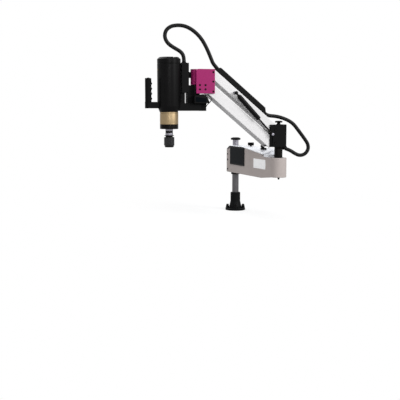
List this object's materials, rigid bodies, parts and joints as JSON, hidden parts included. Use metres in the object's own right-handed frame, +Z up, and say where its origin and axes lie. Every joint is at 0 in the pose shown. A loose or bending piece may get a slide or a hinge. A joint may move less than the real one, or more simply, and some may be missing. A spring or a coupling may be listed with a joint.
{
  "type": "arm tapping machine",
  "caption": "Articulated tapping machine: a swivelling arm on a bolted column, a spring-balanced parallelogram arm and an upright motor head with a quick-change chuck.",
  "frame": {"origin": "on the column's axis at the underside of the base flange", "axes": "+Z up along the column; the parallelogram arm lies in the XZ plane at rest with the tapping head towards -X, and the horizontal arm runs towards -Y"},
  "size_m": [0.9269, 0.6986, 1.0943],
  "materials": {
    "cast_iron_black": "satin black enamel",
    "black_screws": "black oxide",
    "column_steel": "ground steel",
    "black_plastic": "moulded",
    "arm_casting_grey": "powder-coated grey casting",
    "arm_cover_white": "powder-coated white",
    "panel_black": "smooth black",
    "controller_case": "plain folded case",
    "bearing_steel": "ground",
    "bush_bronze": "sintered bronze",
    "elbow_black": "satin black powder coat",
    "pin_steel": "bright",
    "link_white": "powder-coated white",
    "cover_black": "moulded cover",
    "spring_black": "gloss black enamel",
    "bracket_magenta": "magenta powder coat",
    "bracket_screws": "black oxide",
    "cable_rubber": "smooth rubber sheath",
    "gland_plastic": "moulded",
    "motor_cover_black": "satin moulded",
    "motor_housing": "cast and machined",
    "gold_module": "gold anodised",
    "black_ring": "black oxide",
    "grip_rubber": "moulded rubber grip",
    "control_case": "moulded case",
    "button_green": "moulded",
    "button_red": "moulded",
    "lever_black": "moulded lever"
  },
  "bodies": {
    "base": {"base_flange": "cast_iron_black", "base_bolts": "black_screws", "column": "column_steel", "column_cap": "black_plastic", "column_collar": "column_steel"},
    "horizontal_arm": {"arm_casting": "arm_casting_grey", "arm_cover": "arm_cover_white", "side_panel": "panel_black", "arm_screws": "black_screws", "drive_controller": "controller_case", "column_bearings": "bearing_steel", "elbow_bearings": "bearing_steel", "power_inlet": "black_plastic"},
    "brake_knob": {"brake_knob": "black_plastic"},
    "clamp_lever": {"clamp_lever": "lever_black"},
    "elbow": {"elbow_block": "elbow_black", "elbow_shaft": "black_ring", "elbow_cap": "black_plastic", "rear_pins": "pin_steel", "spring_lower_stud": "pin_steel", "rear_cable_gland": "gland_plastic", "rear_cable": "cable_rubber"},
    "upper_link": {"upper_link": "link_white", "cable_cover": "cover_black", "spring_upper_stud": "pin_steel", "upper_bushes": "bush_bronze", "link_cable": "cable_rubber"},
    "lower_link": {"lower_link": "link_white", "lower_bushes": "bush_bronze"},
    "front_bracket": {"front_bracket": "bracket_magenta", "front_pins": "pin_steel", "bracket_screws": "bracket_screws", "swivel_bearings": "bearing_steel", "loop_cable": "cable_rubber"},
    "head": {"head_carrier": "elbow_black", "swivel_shaft": "black_ring", "swivel_lock": "elbow_black", "head_cable_gland": "gland_plastic", "head_cable": "cable_rubber", "motor_cover": "motor_cover_black", "motor_cap": "motor_cover_black", "gearbox": "motor_housing", "motor": "motor_housing", "speed_module": "gold_module", "retaining_ring": "black_ring", "spindle_bearings": "bearing_steel", "handle_arm": "black_plastic", "handle_grip": "grip_rubber", "rest_handle": "black_plastic", "control_box": "control_case", "control_screen": "panel_black", "box_bracket": "black_plastic", "control_lead": "cable_rubber"},
    "start_button": {"start_button": "button_green"},
    "reverse_button": {"reverse_button": "button_red"},
    "spindle": {"spindle": "pin_steel", "chuck_body": "black_ring"},
    "chuck_sleeve": {"chuck_sleeve": "black_ring"},
    "spring_cylinder": {"spring_cylinder": "spring_black"},
    "spring_rod": {"spring_rod": "spring_black"}
  },
  "joints": [
    {"name": "column_swivel", "type": "hinge", "parent": "base", "child": "horizontal_arm", "pos_m": [0, 0, 0.315], "axis": [0, 0, 1], "range_deg": [-170, 170]},
    {"name": "brake_turn", "type": "hinge", "parent": "horizontal_arm", "child": "brake_knob", "pos_m": [0.03557, -0.16406, 0.404], "axis": [0, 0, 1], "range_deg": [-90, 270]},
    {"name": "clamp_turn", "type": "hinge", "parent": "horizontal_arm", "child": "clamp_lever", "pos_m": [0.01427, -0.40993, 0.395], "axis": [0, 0, 1], "range_deg": [-45, 45]},
    {"name": "arm_swivel", "type": "hinge", "parent": "horizontal_arm", "child": "elbow", "pos_m": [0.03649, -0.56883, 0.31], "axis": [0, 0, 1], "range_deg": [-25, 60]},
    {"name": "arm_lift", "type": "hinge", "parent": "elbow", "child": "upper_link", "pos_m": [-0.00151, -0.56883, 0.509], "axis": [0, 1, 0], "range_deg": [-50, 14], "deforming": ["rear_cable", "loop_cable", "head_cable"]},
    {"name": "lower_link_turn", "type": "hinge", "parent": "elbow", "child": "lower_link", "pos_m": [-0.00151, -0.56883, 0.437], "axis": [0, 1, 0], "range_deg": [-51, 15]},
    {"name": "bracket_turn", "type": "hinge", "parent": "upper_link", "child": "front_bracket", "pos_m": [-0.36161, -0.56883, 0.80478], "axis": [0, 1, 0], "range_deg": [-15, 51], "deforming": ["loop_cable", "head_cable"]},
    {"name": "head_swivel", "type": "hinge", "parent": "front_bracket", "child": "head", "pos_m": [-0.44001, -0.56883, 0.76], "axis": [0, 0, 1], "range_deg": [-45, 5], "deforming": ["head_cable", "loop_cable"]},
    {"name": "spindle_spin", "type": "hinge", "parent": "head", "child": "spindle", "pos_m": [-0.58401, -0.56883, 0.56], "axis": [0, 0, 1], "continuous": true},
    {"name": "sleeve_slide", "type": "slide", "parent": "spindle", "child": "chuck_sleeve", "axis": [0, 0, 1], "range_m": [0, 0.006], "stiffness_N_per_m": 2500, "springref_m": -0.003},
    {"name": "start_press", "type": "slide", "parent": "head", "child": "start_button", "axis": [0, 0, -1], "range_m": [0, 0.003], "stiffness_N_per_m": 400, "springref_m": -0.001},
    {"name": "reverse_press", "type": "slide", "parent": "head", "child": "reverse_button", "axis": [0, 0, -1], "range_m": [0, 0.003], "stiffness_N_per_m": 400, "springref_m": -0.001},
    {"name": "spring_cylinder_turn", "type": "hinge", "parent": "upper_link", "child": "spring_cylinder", "pos_m": [-0.23466, -0.62683, 0.70568], "axis": [0, 1, 0], "range_deg": [-3, 2]},
    {"name": "spring_rod_turn", "type": "hinge", "parent": "elbow", "child": "spring_rod", "pos_m": [-0.02431, -0.62683, 0.4863], "axis": [0, 1, 0], "range_deg": [-53, 16]}
  ],
  "couplings": [
    {"joint": "lower_link_turn", "follows": "arm_lift", "ratio": 1},
    {"joint": "bracket_turn", "follows": "arm_lift", "ratio": -1},
    {"joint": "spring_cylinder_turn", "follows": "arm_lift", "ratio": 0.032},
    {"joint": "spring_rod_turn", "follows": "arm_lift", "ratio": 1.032}
  ]
}
